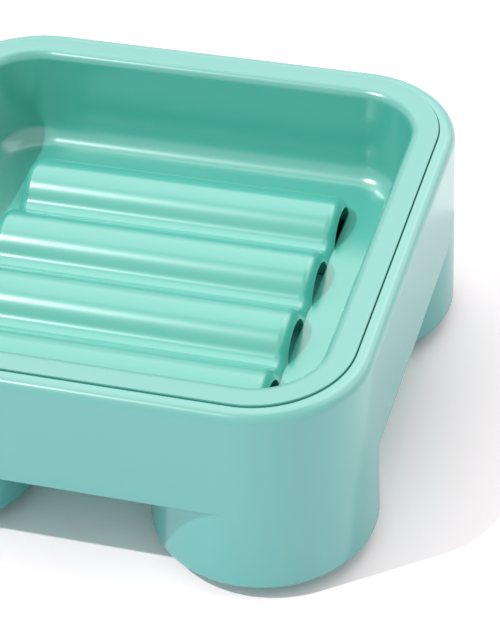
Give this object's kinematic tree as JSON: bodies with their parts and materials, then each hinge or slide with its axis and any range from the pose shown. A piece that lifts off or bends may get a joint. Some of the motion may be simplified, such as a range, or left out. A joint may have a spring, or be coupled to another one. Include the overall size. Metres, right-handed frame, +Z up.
{
  "type": "soap dish with lift-out drain tray",
  "caption": "Square soap dish with large round corners on round hollow feet. A glossy drain tray with a ribbed floor and arched drain openings lies flush in its rim and lifts out.",
  "frame": {"origin": "on the table, under the middle of the dish", "axes": "+X to the right along the ribs, +Y to the back, +Z up"},
  "size_m": [0.115, 0.115, 0.0476],
  "materials": {
    "base_plastic": "smooth moulded, mint green",
    "tray_plastic": "polished moulded, mint green",
    "pad_rubber": "matt moulded, grey"
  },
  "bodies": {
    "base": {"base": "base_plastic", "foot_pad_back_right": "pad_rubber", "foot_pad_back_left": "pad_rubber", "foot_pad_front_left": "pad_rubber", "foot_pad_front_right": "pad_rubber"},
    "tray": {"tray": "tray_plastic"}
  },
  "joints": [
    {"name": "tray_lift", "type": "slide", "parent": "base", "child": "tray", "axis": [0, 0, 1], "range_m": [0, 0.05]}
  ]
}
